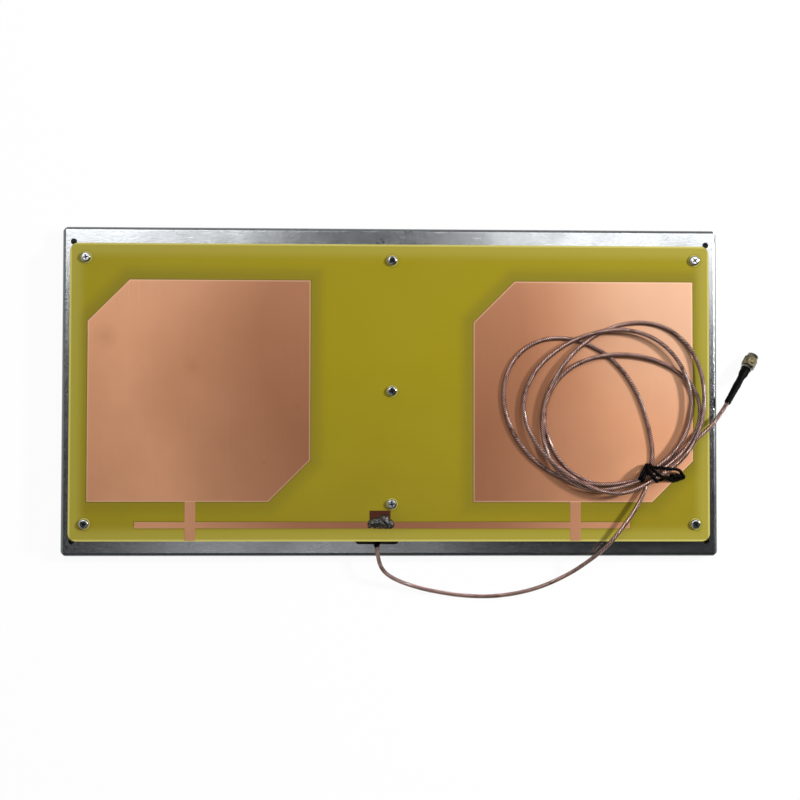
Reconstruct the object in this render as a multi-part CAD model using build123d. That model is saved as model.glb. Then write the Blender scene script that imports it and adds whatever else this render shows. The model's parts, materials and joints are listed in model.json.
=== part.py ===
# Panel antenna for an RFID reader, opened: a zinc-coated reflector sheet folded
# back along its edges, a fibreglass board with two cut-corner copper patches
# held above it on spacers, and a thin coaxial lead that lies in loose turns on
# the board and ends in a small threaded plug.
# Millimetres. X along the long side, Y across, Z up. The origin is under the
# middle of the sheet, at the height of the surface that it stands on.
from build123d import *
from math import cos, pi, radians, sin, tan
import os

# Reflector sheet: outer size, thickness, the folded skirt and its corners
SHEET_LENGTH = 400.0
SHEET_WIDTH = 200.0
SHEET_THICKNESS = 1.2
SKIRT_DEPTH = 10.0
BEND_INNER_RADIUS = 1.0
CORNER_CUT = 2.7
# Four holes near its corners, to fasten the antenna
CORNER_HOLE_END_MARGIN = 6.8
CORNER_HOLE_SIDE_MARGIN = 9.2
CORNER_HOLE_RADIUS = 1.85
# Slot under the lead's exit, near the front edge
SLOT_LENGTH = 26.2
SLOT_WIDTH = 6.0
SLOT_CORNER_RADIUS = 2.0
SLOT_X = -8.8
SLOT_EDGE_MARGIN = 7.3

# Fibreglass board, smaller than the sheet all round and a little off its middle
BOARD_END_MARGIN = 6.75
BOARD_SIDE_MARGIN = 10.4
BOARD_THICKNESS = 1.6
BOARD_CORNER_RADIUS = 5.0
BOARD_X = -0.4
BOARD_Y = -0.8

# Screws: four at the corners and three down the middle, from the board's edges
SCREW_END_MARGIN = 9.25
SCREW_SIDE_MARGIN = 9.6
REAR_SCREW_MARGIN = 10.6
FRONT_SCREW_MARGIN = 21.6
SCREW_TURNS = (12.0, 38.0, 70.0, 25.0, 55.0, 20.0, 5.0)
SCREW_RADIUS = 1.5
SCREW_LENGTH = 16.0
HEAD_RADIUS = 3.0
HEAD_HEIGHT = 2.2
HEAD_EDGE_RADIUS = 1.1
RECESS_SPAN = 3.2
RECESS_SLOT = 0.75
RECESS_DEPTH = 1.3
BOARD_HOLE_CLEARANCE = 0.15
SHEET_HOLE_CLEARANCE = 0.2

# Spacers between the sheet and the board, and the nuts behind the sheet
SPACER_HEIGHT = 8.0
SPACER_RADIUS = 4.0
SPACER_BORE_CLEARANCE = 0.1
SPACER_EDGE_RADIUS = 0.4
NUT_ACROSS_FLATS = 5.5
NUT_HEIGHT = 2.4
NUT_EDGE_CHAMFER = 0.35
NUT_BORE_CLEARANCE = 0.05

# Etched copper: two square patches, two stubs, a feed strip and a pad, with
# their distances from the board's edges
COPPER_THICKNESS = 0.1
PATCH_REAR_MARGIN = 22.05
PATCH_FRONT_MARGIN = 23.65
PATCH_END_MARGIN = 10.5
PATCH_CUT = 25.0
STUB_WIDTH = 6.4
STUB_SHIFT = -5.0
STUB_END_MARGIN = 0.5
STRIP_WIDTH = 3.8
STRIP_EDGE_MARGIN = 7.8
STRIP_OVERHANG = 33.2
PAD_LENGTH = 12.6
PAD_HEIGHT = 8.8
PAD_X = -7.1

# Solder on the pad: x along the strip from the pad's middle, y from the
# strip's middle, radius of each lump, and how deep its centre lies
SOLDER_LUMPS = (
    (-5.0, 1.2, 2.6, 1.1),
    (-2.2, 2.0, 2.9, 0.9),
    (0.8, 1.6, 3.1, 1.1),
    (2.7, 3.6, 3.2, 0.7),
    (5.1, 1.4, 3.0, 1.0),
    (6.9, 0.3, 1.9, 0.4),
)
# Hole for the feed wire, in the strip
FEED_X = -9.4
WIRE_HOLE_RADIUS = 0.6

# Coaxial lead and its stripped end under the board
CORD_DIAMETER = 2.5
DIELECTRIC_DIAMETER = 1.5
CONDUCTOR_DIAMETER = 0.5
BRAID_DIAMETER = 1.4
CORE_BEND_RADIUS = 3.2
CORE_GAP = 0.3
BRAID_DROP = 0.6
BRAID_SIDE = 1.6
GROUND_SOLDER_RADIUS = 2.6
GROUND_SOLDER_SINK = 1.2
EXIT_SLEEVE_DIAMETER = 5.0
EXIT_SLEEVE_LENGTH = 7.5
EXIT_SLEEVE_TIP_DIAMETER = 3.4

# Route of the lead from the exit, over the sheet's front edge and along the
# surface that the antenna stands on, with y from that edge
LEAD_FRONT_POINTS = (
    (-8.8, 5.8, 13.4),
    (-8.2, -2.0, 14.3),
    (-4.7, -9.4, 12.5),
    (2.7, -14.5, 8.3),
    (12.5, -18.4, 4.3),
    (24.5, -21.8, 1.8),
    (45.5, -25.2, 1.4),
    (67.0, -25.3, 1.4),
    (89.0, -21.0, 1.5),
    (108.0, -12.3, 4.7),
    (121.5, -1.8, 14.0),
    (130.0, 7.5, 24.6),
)
# and on from there over the board to the tie
LEAD_BOARD_POINTS = (
    (139.5, -81.0, 25.6),
    (147.8, -69.0, 23.0),
    (152.3, -60.0, 21.5),
    (153.9, -55.3, 21.2),
)
# Outline of the loose turns, seen from above, outside and inside
COIL_OUTLINE = (
    (157.3, -53.4),
    (173.0, -42.6),
    (186.5, -28.5),
    (190.6, -5.0),
    (188.0, 20.0),
    (172.5, 39.0),
    (151.0, 45.5),
    (124.0, 40.5),
    (100.0, 36.0),
    (78.0, 28.5),
    (64.5, 9.0),
    (66.0, -18.0),
    (85.0, -44.5),
    (113.0, -58.0),
    (135.0, -64.8),
    (149.5, -58.8),
)
COIL_OPENING = (
    (152.4, -45.0),
    (153.8, -28.0),
    (149.0, -9.0),
    (140.0, 6.0),
    (127.0, 19.0),
    (112.0, 18.0),
    (98.5, 4.0),
    (93.8, -14.0),
    (96.5, -32.0),
    (110.0, -46.5),
    (128.0, -50.5),
    (143.0, -48.5),
)
COIL_HEIGHT = 8.6
COIL_EDGE_RADIUS = 1.8
LAYING_GAP = 0.05
TAIL_POINTS = (
    (187.2, -25.4, 25.2),
    (192.7, -20.5, 25.5),
    (199.3, -12.9, 21.9),
)
BEND_SHARE = 0.45

# Twist tie round the turns: where it sits and the run of the strands there
TIE_X = 155.0
TIE_Y = -49.6
TIE_TURN = 32.0
TIE_WIRE = 1.5
TIE_BAND = 3.0
BUNDLE_WIDTH = 8.2
BUNDLE_HEIGHT = 6.4
# The tie's loop lies beside the turns: x, y and radius of its two ends
TIE_LOOP_NEAR = (158.6, -53.9, 1.1)
TIE_LOOP_FAR = (173.4, -51.2, 3.9)
TIE_EYE_NEAR = (162.8, -53.2, 0.4)
TIE_EYE_FAR = (173.4, -51.2, 2.4)
TIE_LOOP_LIFT = 0.3

# Plug: where the nut's mouth is, and its axis, turned from +X and drooping
PLUG_TIP = (224.3, 23.1, 3.6)
PLUG_TURN = 55.9
PLUG_DROOP = 21.8
# Coupling nut, hexagonal behind a round nose, free to turn on the plug's body
COUPLING_ACROSS_FLATS = 7.5
COUPLING_LENGTH = 9.0
COUPLING_NOSE_RADIUS = 3.5
COUPLING_NOSE_LENGTH = 2.2
COUPLING_NOSE_CHAMFER = 0.15
COUPLING_SHOULDER_LENGTH = 0.7
COUPLING_REAR_CHAMFER = 0.5
THREAD_BORE_RADIUS = 2.85
THREAD_DEPTH = 4.9
THREAD_MOUTH_CHAMFER = 0.25
RING_GROOVE_RADIUS = 3.1
RING_GROOVE_LENGTH = 0.7
REAR_BORE_RADIUS = 2.45
NUT_RUNNING_CLEARANCE = 0.05
# Plug body: collar behind the nut, neck inside it and the shell in front
COLLAR_RADIUS = 3.3
COLLAR_LENGTH = 1.9
COLLAR_GAP = 0.1
NECK_FRONT = 4.6
SHELL_RADIUS = 2.28
SHELL_FRONT = 3.1
CABLE_BORE_RADIUS = 0.8
# Retaining ring, gasket, insulator and contact pin
RING_INNER_RADIUS = 2.1
RING_OUTER_RADIUS = 2.75
RING_THICKNESS = 0.4
RING_OPENING = 1.2
GASKET_THICKNESS = 0.7
GASKET_RADIUS = 2.7
INSULATOR_RADIUS = 2.05
INSULATOR_LENGTH = 4.6
PIN_SOCKET_RADIUS = 0.64
PIN_RADIUS = 0.46
PIN_REACH = 2.2
PIN_POINT = 0.25
# Crimped ferrule and the shrink sleeve over it
FERRULE_RADIUS = 2.35
FERRULE_LENGTH = 5.0
FERRULE_WALL = 0.4
SLEEVE_LENGTH = 27.6
SLEEVE_FRONT_RADIUS = 2.9
SLEEVE_MIDDLE_RADIUS = 2.3
SLEEVE_REAR_RADIUS = 2.0
SLEEVE_STEP_AT = 5.2
SLEEVE_STEP_LENGTH = 2.0
SLEEVE_EDGE_RADIUS = 0.5

# Heights and places that follow from the sizes above
SHEET_TOP = SKIRT_DEPTH
SHEET_UNDERSIDE = SHEET_TOP - SHEET_THICKNESS
BOARD_UNDERSIDE = SHEET_TOP + SPACER_HEIGHT
BOARD_TOP = BOARD_UNDERSIDE + BOARD_THICKNESS
COPPER_TOP = BOARD_TOP + COPPER_THICKNESS
SHEET_FRONT = -SHEET_WIDTH / 2
CORNER_HOLE_X = SHEET_LENGTH / 2 - CORNER_HOLE_END_MARGIN
CORNER_HOLE_Y = SHEET_WIDTH / 2 - CORNER_HOLE_SIDE_MARGIN
BOARD_LENGTH = SHEET_LENGTH - 2 * BOARD_END_MARGIN
BOARD_WIDTH = SHEET_WIDTH - 2 * BOARD_SIDE_MARGIN
BOARD_FRONT = BOARD_Y - BOARD_WIDTH / 2
SCREW_X = BOARD_LENGTH / 2 - SCREW_END_MARGIN
SCREW_Y = BOARD_WIDTH / 2 - SCREW_SIDE_MARGIN
MIDDLE_SCREW_Y = (BOARD_WIDTH / 2 - REAR_SCREW_MARGIN, 0.0, FRONT_SCREW_MARGIN - BOARD_WIDTH / 2)
PATCH_SIDE = BOARD_WIDTH - PATCH_REAR_MARGIN - PATCH_FRONT_MARGIN
PATCH_X = BOARD_LENGTH / 2 - PATCH_END_MARGIN - PATCH_SIDE / 2
PATCH_Y = BOARD_FRONT + PATCH_FRONT_MARGIN + PATCH_SIDE / 2
STRIP_Y = BOARD_FRONT + STRIP_EDGE_MARGIN + STRIP_WIDTH / 2
SLOT_Y = SHEET_FRONT + SLOT_EDGE_MARGIN + SLOT_WIDTH / 2
LEAD_POINTS = tuple((x, SHEET_FRONT + y, z) for x, y, z in LEAD_FRONT_POINTS)
LEAD_POINTS += LEAD_BOARD_POINTS
STRIP_TOP = STRIP_Y + STRIP_WIDTH / 2
FEED_Y = STRIP_Y
COIL_BOTTOM = COPPER_TOP + LAYING_GAP
CORNERS = ((-1, 1), (1, 1), (-1, -1), (1, -1))
SCREW_PLACES = tuple((sx * SCREW_X, sy * SCREW_Y) for sx, sy in CORNERS)
SCREW_PLACES += tuple((0.0, y) for y in MIDDLE_SCREW_Y)
COLLAR_FRONT = COUPLING_LENGTH + COLLAR_GAP
COLLAR_REAR = COLLAR_FRONT + COLLAR_LENGTH
RING_MIDDLE = THREAD_DEPTH + RING_GROOVE_LENGTH / 2
NECK_RADIUS = REAR_BORE_RADIUS - NUT_RUNNING_CLEARANCE
SLEEVE_REAR = COLLAR_REAR + SLEEVE_LENGTH


def rod(radius, height, x=0.0, y=0.0, z=0.0):
    """A round bar standing at x, y with its foot at z."""
    upright = (Align.CENTER, Align.CENTER, Align.MIN)
    return Pos(x, y, z) * Cylinder(radius, height, align=upright)


def hexagonal_bar(across_flats, height):
    """A hexagonal bar standing on the XY plane."""
    return extrude(RegularPolygon(across_flats / 2, 6, major_radius=False), height)


def turned(profile):
    """A solid of revolution about Z from a list of radius and height pairs."""
    face = make_face(Polyline(*[(r, 0, z) for r, z in profile], close=True))
    return revolve(face, Axis.Z)


def bend_radii(points):
    """The largest arc at each inner point that its two runs leave room for."""
    radii = []
    for before, here, after in zip(points, points[1:], points[2:]):
        run_in = Vector(*here) - Vector(*before)
        run_out = Vector(*after) - Vector(*here)
        half_turn = radians(run_in.get_angle(run_out)) / 2
        radii.append(BEND_SHARE * min(run_in.length, run_out.length) / tan(half_turn))
    return radii


def round_wire(points, diameter, name=None):
    """A bar of round section along straight runs joined by arcs."""
    radii = bend_radii(points)
    path = FilletPolyline(*points, radius=radii)
    section = Plane(origin=path @ 0, z_dir=path % 0) * Circle(diameter / 2)
    bar = sweep(section, path=path)
    if name:
        true_volume = pi * diameter**2 / 4 * path.length
        print(name, "length", round(path.length, 1), "radii", [round(r, 1) for r in radii])
        print(name, "volume", round(bar.volume, 2), "section times length", round(true_volume, 2))
    return bar


def reflector_tray():
    """Sheet folded back along four edges, its corners cut for the folds."""
    on_floor = (Align.CENTER, Align.CENTER, Align.MIN)
    outside = Box(SHEET_LENGTH, SHEET_WIDTH, SKIRT_DEPTH, align=on_floor)
    outside = fillet(outside.faces().sort_by(Axis.Z)[-1].edges(), BEND_INNER_RADIUS + SHEET_THICKNESS)
    inside = Box(
        SHEET_LENGTH - 2 * SHEET_THICKNESS,
        SHEET_WIDTH - 2 * SHEET_THICKNESS,
        SHEET_UNDERSIDE,
        align=on_floor,
    )
    inside = fillet(inside.faces().sort_by(Axis.Z)[-1].edges(), BEND_INNER_RADIUS)
    tray = outside - inside
    for sx, sy in CORNERS:
        corner = Vector(sx * SHEET_LENGTH / 2, sy * SHEET_WIDTH / 2)
        notch = make_face(
            Polyline(
                (corner.X, corner.Y),
                (corner.X - sx * CORNER_CUT, corner.Y),
                (corner.X, corner.Y - sy * CORNER_CUT),
                close=True,
            )
        )
        tray -= extrude(notch, SKIRT_DEPTH, dir=(0, 0, 1))
        tray -= rod(CORNER_HOLE_RADIUS, SKIRT_DEPTH, sx * CORNER_HOLE_X, sy * CORNER_HOLE_Y)
    for x, y in SCREW_PLACES:
        tray -= rod(SCREW_RADIUS + SHEET_HOLE_CLEARANCE, SKIRT_DEPTH, x, y)
    slot = RectangleRounded(SLOT_LENGTH, SLOT_WIDTH, SLOT_CORNER_RADIUS)
    return tray - extrude(Pos(SLOT_X, SLOT_Y) * slot, SKIRT_DEPTH)


def antenna_board():
    """Fibreglass board with holes for the screws and the feed wire."""
    outline = Pos(BOARD_X, BOARD_Y) * RectangleRounded(BOARD_LENGTH, BOARD_WIDTH, BOARD_CORNER_RADIUS)
    for x, y in SCREW_PLACES:
        outline -= Pos(x, y) * Circle(SCREW_RADIUS + BOARD_HOLE_CLEARANCE)
    outline -= Pos(FEED_X, FEED_Y) * Circle(WIRE_HOLE_RADIUS)
    return Pos(0, 0, BOARD_UNDERSIDE) * extrude(outline, BOARD_THICKNESS)


def patch_copper():
    """Both patches with their stubs, the strip that feeds them and the pad."""
    half = PATCH_SIDE / 2
    stub_end = BOARD_FRONT + STUB_END_MARGIN
    patch_front = PATCH_Y - half
    stub_xs = [side * PATCH_X + STUB_SHIFT for side in (-1, 1)]
    strip_length = stub_xs[1] - stub_xs[0] + 2 * STRIP_OVERHANG
    strip_x = (stub_xs[0] + stub_xs[1]) / 2
    foil = Pos(strip_x, STRIP_Y) * Rectangle(strip_length, STRIP_WIDTH)
    for side, stub_x in zip((-1, 1), stub_xs):
        patch = make_face(
            Polyline(
                (-half, -half),
                (half - PATCH_CUT, -half),
                (half, -half + PATCH_CUT),
                (half, half),
                (-half + PATCH_CUT, half),
                (-half, half - PATCH_CUT),
                close=True,
            )
        )
        foil += Pos(side * PATCH_X, PATCH_Y) * patch
        stub = Rectangle(STUB_WIDTH, patch_front - stub_end)
        foil += Pos(stub_x, (stub_end + patch_front) / 2) * stub
    foil += Pos(PAD_X, STRIP_TOP + (PAD_HEIGHT - STRIP_WIDTH) / 2) * Rectangle(PAD_LENGTH, PAD_HEIGHT)
    foil -= Pos(FEED_X, FEED_Y) * Circle(WIRE_HOLE_RADIUS)
    return Pos(0, 0, BOARD_TOP) * extrude(foil, COPPER_THICKNESS)


def board_screw(x, y, turn):
    """Pan-head screw with a cross recess, its head on the board."""
    head = rod(HEAD_RADIUS, HEAD_HEIGHT)
    head = fillet(head.edges().sort_by(Axis.Z)[-1], HEAD_EDGE_RADIUS)
    for quarter in (0, 90):
        slot = Pos(0, 0, HEAD_HEIGHT - RECESS_DEPTH / 2) * Box(RECESS_SPAN, RECESS_SLOT, RECESS_DEPTH)
        head -= Rot(0, 0, quarter) * slot
    screw = head + rod(SCREW_RADIUS, SCREW_LENGTH, z=-SCREW_LENGTH)
    return Pos(x, y, BOARD_TOP) * Rot(0, 0, turn) * screw


def spacer(x, y):
    """Round spacer between the sheet and the board."""
    body = rod(SPACER_RADIUS, SPACER_HEIGHT)
    body = fillet(body.edges().filter_by(GeomType.CIRCLE), SPACER_EDGE_RADIUS)
    body -= rod(SCREW_RADIUS + SPACER_BORE_CLEARANCE, SPACER_HEIGHT)
    return Pos(x, y, SHEET_TOP) * body


def rear_nut(x, y, turn):
    """Hexagonal nut under the sheet, its rims cut to a cone."""
    nut = hexagonal_bar(NUT_ACROSS_FLATS, NUT_HEIGHT)
    rim = rod(NUT_ACROSS_FLATS / 2 + NUT_EDGE_CHAMFER, NUT_HEIGHT)
    nut &= chamfer(rim.edges().filter_by(GeomType.CIRCLE), NUT_EDGE_CHAMFER)
    nut -= rod(SCREW_RADIUS + NUT_BORE_CLEARANCE, NUT_HEIGHT)
    return Pos(x, y, SHEET_UNDERSIDE - NUT_HEIGHT) * Rot(0, 0, turn) * nut


def feed_solder():
    """Lumps of solder run together on the pad."""
    joint = None
    for x, y, radius, sink in SOLDER_LUMPS:
        lump = Pos(PAD_X + x, STRIP_Y + y, COPPER_TOP - sink) * Sphere(radius)
        joint = lump if joint is None else joint + lump
    return split(joint, Plane.XY.offset(COPPER_TOP), keep=Keep.TOP)


def exit_direction():
    """Direction of the lead's first run."""
    return (Vector(*LEAD_POINTS[1]) - Vector(*LEAD_POINTS[0])).normalized()


def core_start():
    """Point just behind the exit sleeve, where the stripped core comes out."""
    behind = EXIT_SLEEVE_LENGTH + CORE_GAP
    return Vector(*LEAD_POINTS[0]) - exit_direction() * behind


def exit_sleeve():
    """Black sleeve at the lead's exit, narrowing towards the lead."""
    body = turned(
        [
            (0, -EXIT_SLEEVE_LENGTH),
            (EXIT_SLEEVE_DIAMETER / 2, -EXIT_SLEEVE_LENGTH),
            (EXIT_SLEEVE_DIAMETER / 2, -EXIT_SLEEVE_LENGTH / 2),
            (EXIT_SLEEVE_TIP_DIAMETER / 2, 0),
            (0, 0),
        ]
    )
    return Plane(origin=LEAD_POINTS[0], z_dir=exit_direction()) * body


def cable_dielectric():
    """White core of the lead, bent up to the board's underside."""
    start = core_start()
    corner = (FEED_X, FEED_Y, start.Z)
    top = (FEED_X, FEED_Y, BOARD_UNDERSIDE)
    path = FilletPolyline(start, corner, top, radius=CORE_BEND_RADIUS)
    section = Plane(origin=path @ 0, z_dir=path % 0) * Circle(DIELECTRIC_DIAMETER / 2)
    return sweep(section, path=path)


def centre_conductor():
    """Wire from the core up through the board to the solder."""
    return rod(CONDUCTOR_DIAMETER / 2, COPPER_TOP - BOARD_UNDERSIDE, FEED_X, FEED_Y, BOARD_UNDERSIDE)


def cable_braid():
    """Screen of the lead, twisted to one side and led down to the sheet."""
    start = core_start()
    points = (
        (start.X + BRAID_SIDE, start.Y, start.Z - BRAID_DROP),
        (start.X + BRAID_SIDE + 0.6, start.Y + 2.6, start.Z - BRAID_DROP - 0.3),
        (start.X + BRAID_SIDE + 1.8, start.Y + 4.6, start.Z - BRAID_DROP - 1.2),
    )
    return round_wire(points, BRAID_DIAMETER)


def ground_solder():
    """Solder mound that holds the screen to the sheet."""
    start = core_start()
    place = (start.X + BRAID_SIDE + 2.0, start.Y + 5.6, SHEET_TOP - GROUND_SOLDER_SINK)
    mound = Pos(*place) * Sphere(GROUND_SOLDER_RADIUS)
    mound = split(mound, Plane.XY.offset(SHEET_TOP), keep=Keep.TOP)
    return mound - cable_braid()


def tie_frame():
    """Upright plane across the strands at the tie, X along the strands."""
    along = (cos(radians(TIE_TURN)), sin(radians(TIE_TURN)), 0)
    return Plane(origin=(TIE_X, TIE_Y, COIL_BOTTOM), x_dir=along, z_dir=(0, 0, 1))


def tie_band():
    """The tie's turns round the strands, without its loop."""
    standing = (Align.CENTER, Align.CENTER, Align.MIN)
    outside = Box(TIE_BAND, BUNDLE_WIDTH + 2 * TIE_WIRE, BUNDLE_HEIGHT + 2 * TIE_WIRE, align=standing)
    outside = fillet(outside.edges().filter_by(Axis.X), TIE_WIRE)
    return tie_frame() * (outside - Pos(0, 0, TIE_WIRE) * strand_core())


def strand_core():
    """The strands' section where the tie holds them."""
    standing = (Align.CENTER, Align.CENTER, Align.MIN)
    return Box(TIE_BAND, BUNDLE_WIDTH, BUNDLE_HEIGHT, align=standing)


def cable_coil():
    """One solid of the outer shape of the loose turns."""
    outside = make_face(Spline(*COIL_OUTLINE, periodic=True))
    opening = make_face(Spline(*COIL_OPENING, periodic=True))
    ring = extrude(outside - opening, COIL_HEIGHT)
    ring = fillet(ring.faces().sort_by(Axis.Z)[-1].edges(), COIL_EDGE_RADIUS)
    ring = Pos(0, 0, COIL_BOTTOM) * ring
    standing = (Align.CENTER, Align.CENTER, Align.MIN)
    groove = tie_frame() * Box(TIE_BAND, 3 * BUNDLE_WIDTH, 2 * COIL_HEIGHT, align=standing)
    strands = tie_frame() * Pos(0, 0, TIE_WIRE) * strand_core()
    return (ring - groove) + strands


def teardrop(near, far):
    """Outline drawn tight round two circles, each given by x, y and radius."""
    rings = [(Pos(x, y) * Circle(radius)).edges() for x, y, radius in (near, far)]
    return make_hull(rings[0] + rings[1])


def cable_tie():
    """Twist tie: turns round the strands and a loop left over."""
    loop = teardrop(TIE_LOOP_NEAR, TIE_LOOP_FAR) - teardrop(TIE_EYE_NEAR, TIE_EYE_FAR)
    return tie_band() + Pos(0, 0, COPPER_TOP + TIE_LOOP_LIFT) * extrude(loop, TIE_WIRE)


def plug_axis():
    """Direction in which the plug points."""
    level = cos(radians(PLUG_DROOP))
    return Vector(
        level * cos(radians(PLUG_TURN)),
        level * sin(radians(PLUG_TURN)),
        -sin(radians(PLUG_DROOP)),
    )


def on_plug(piece):
    """Place a piece made about Z with the nut's mouth at zero and the cord below,
    its X level, so that the nut lies on a flat."""
    level = (sin(radians(PLUG_TURN)), -cos(radians(PLUG_TURN)), 0)
    return Plane(origin=PLUG_TIP, x_dir=level, z_dir=plug_axis()) * piece


def coupling_nut():
    """Hexagonal nut with a round nose, a threaded mouth, a ring groove and a rear
    bore."""
    nut = Pos(0, 0, -COUPLING_LENGTH) * hexagonal_bar(COUPLING_ACROSS_FLATS, COUPLING_LENGTH)
    corner = COUPLING_ACROSS_FLATS / 2 / cos(pi / 6)
    nut &= turned(
        [
            (0, 0),
            (COUPLING_NOSE_RADIUS - COUPLING_NOSE_CHAMFER, 0),
            (COUPLING_NOSE_RADIUS, -COUPLING_NOSE_CHAMFER),
            (COUPLING_NOSE_RADIUS, -COUPLING_NOSE_LENGTH),
            (corner, -COUPLING_NOSE_LENGTH - COUPLING_SHOULDER_LENGTH),
            (corner, COUPLING_REAR_CHAMFER - COUPLING_LENGTH),
            (corner - COUPLING_REAR_CHAMFER, -COUPLING_LENGTH),
            (0, -COUPLING_LENGTH),
        ]
    )
    groove_rear = THREAD_DEPTH + RING_GROOVE_LENGTH
    return nut - turned(
        [
            (0, 0),
            (THREAD_BORE_RADIUS + THREAD_MOUTH_CHAMFER, 0),
            (THREAD_BORE_RADIUS, -THREAD_MOUTH_CHAMFER),
            (THREAD_BORE_RADIUS, -THREAD_DEPTH),
            (RING_GROOVE_RADIUS, -THREAD_DEPTH),
            (RING_GROOVE_RADIUS, -groove_rear),
            (REAR_BORE_RADIUS, -groove_rear),
            (REAR_BORE_RADIUS, -COUPLING_LENGTH),
            (0, -COUPLING_LENGTH),
        ]
    )


def connector_body():
    """Turned body: collar, neck with the ring's groove, and front shell."""
    ring_half = RING_THICKNESS / 2 + LAYING_GAP
    seat = SHELL_FRONT + INSULATOR_LENGTH
    ferrule_rear = COLLAR_REAR + FERRULE_LENGTH
    ferrule_bore = FERRULE_RADIUS - FERRULE_WALL
    return turned(
        [
            (INSULATOR_RADIUS, -SHELL_FRONT),
            (SHELL_RADIUS, -SHELL_FRONT),
            (SHELL_RADIUS, -NECK_FRONT),
            (NECK_RADIUS, -NECK_FRONT),
            (NECK_RADIUS, -RING_MIDDLE + ring_half),
            (RING_INNER_RADIUS, -RING_MIDDLE + ring_half),
            (RING_INNER_RADIUS, -RING_MIDDLE - ring_half),
            (NECK_RADIUS, -RING_MIDDLE - ring_half),
            (NECK_RADIUS, -COLLAR_FRONT),
            (COLLAR_RADIUS, -COLLAR_FRONT),
            (COLLAR_RADIUS, -COLLAR_REAR),
            (ferrule_bore, -COLLAR_REAR),
            (ferrule_bore, -ferrule_rear),
            (CABLE_BORE_RADIUS, -ferrule_rear),
            (CABLE_BORE_RADIUS, -seat),
            (INSULATOR_RADIUS, -seat),
        ]
    )


def retaining_ring():
    """Split ring in the body's groove that holds the nut on."""
    ring = rod(RING_OUTER_RADIUS, RING_THICKNESS) - rod(RING_INNER_RADIUS, RING_THICKNESS)
    ring -= Pos(RING_OUTER_RADIUS, 0, RING_THICKNESS / 2) * Box(
        2 * (RING_OUTER_RADIUS - RING_INNER_RADIUS) + RING_OPENING, RING_OPENING, RING_THICKNESS
    )
    return Pos(0, 0, -RING_MIDDLE - RING_THICKNESS / 2) * ring


def gasket():
    """Soft ring against the shoulder of the neck."""
    ring = rod(GASKET_RADIUS, GASKET_THICKNESS) - rod(SHELL_RADIUS, GASKET_THICKNESS)
    return Pos(0, 0, -NECK_FRONT) * ring


def insulator():
    """White insulator inside the shell."""
    body = rod(INSULATOR_RADIUS, INSULATOR_LENGTH) - rod(PIN_SOCKET_RADIUS, INSULATOR_LENGTH)
    return Pos(0, 0, -SHELL_FRONT - INSULATOR_LENGTH) * body


def contact_pin():
    """Centre contact: a shank in the insulator and a thinner pointed pin."""
    rear = SHELL_FRONT + INSULATOR_LENGTH
    return turned(
        [
            (0, -rear),
            (PIN_SOCKET_RADIUS, -rear),
            (PIN_SOCKET_RADIUS, -SHELL_FRONT),
            (PIN_RADIUS, -SHELL_FRONT),
            (PIN_RADIUS, -SHELL_FRONT + PIN_REACH),
            (PIN_RADIUS / 2, -SHELL_FRONT + PIN_REACH + PIN_POINT),
            (0, -SHELL_FRONT + PIN_REACH + PIN_POINT),
        ]
    )


def crimp_ferrule():
    """Metal tube crimped over the rear of the body."""
    tube = rod(FERRULE_RADIUS, FERRULE_LENGTH) - rod(FERRULE_RADIUS - FERRULE_WALL, FERRULE_LENGTH)
    return Pos(0, 0, -COLLAR_REAR - FERRULE_LENGTH) * tube


def connector_sleeve():
    """Shrink sleeve over the ferrule and the lead's end, stepped where it narrows."""
    ferrule_rear = -COLLAR_REAR - FERRULE_LENGTH
    step = -COLLAR_REAR - SLEEVE_STEP_AT
    body = turned(
        [
            (FERRULE_RADIUS, -COLLAR_REAR),
            (SLEEVE_FRONT_RADIUS, -COLLAR_REAR),
            (SLEEVE_FRONT_RADIUS, step),
            (SLEEVE_MIDDLE_RADIUS, step - SLEEVE_STEP_LENGTH),
            (SLEEVE_REAR_RADIUS, -SLEEVE_REAR),
            (0, -SLEEVE_REAR),
            (0, ferrule_rear),
            (FERRULE_RADIUS, ferrule_rear),
        ]
    )
    rims = body.edges().filter_by(GeomType.CIRCLE).group_by(SortBy.RADIUS)[-1]
    return fillet(rims.sort_by(Axis.Z)[-1], SLEEVE_EDGE_RADIUS)


def sleeve_end():
    """Point where the lead enters the plug's sleeve."""
    return Vector(*PLUG_TIP) - plug_axis() * SLEEVE_REAR


def write(name, piece):
    """Write one piece to a file named for it."""
    export_step(piece, f"parts/{name}.step")


os.makedirs("parts", exist_ok=True)
write("reflector_tray", reflector_tray())
write("antenna_board", antenna_board())
write("patch_copper", patch_copper())
for number, ((screw_x, screw_y), screw_turn) in enumerate(zip(SCREW_PLACES, SCREW_TURNS), 1):
    write(f"board_screw_{number}", board_screw(screw_x, screw_y, screw_turn))
    write(f"spacer_{number}", spacer(screw_x, screw_y))
    write(f"rear_nut_{number}", rear_nut(screw_x, screw_y, screw_turn))
write("feed_solder", feed_solder())
write("exit_sleeve", exit_sleeve())
write("cable_dielectric", cable_dielectric())
write("centre_conductor", centre_conductor())
write("cable_braid", cable_braid())
write("ground_solder", ground_solder())
write("cable_lead", round_wire(LEAD_POINTS, CORD_DIAMETER, "cable_lead"))
write("cable_coil", cable_coil())
write("cable_tail", round_wire(TAIL_POINTS + (tuple(sleeve_end()),), CORD_DIAMETER, "cable_tail"))
write("cable_tie", cable_tie())
write("coupling_nut", on_plug(coupling_nut()))
write("connector_body", on_plug(connector_body()))
write("retaining_ring", on_plug(retaining_ring()))
write("gasket", on_plug(gasket()))
write("insulator", on_plug(insulator()))
write("contact_pin", on_plug(contact_pin()))
write("crimp_ferrule", on_plug(crimp_ferrule()))
write("connector_sleeve", on_plug(connector_sleeve()))
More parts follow.
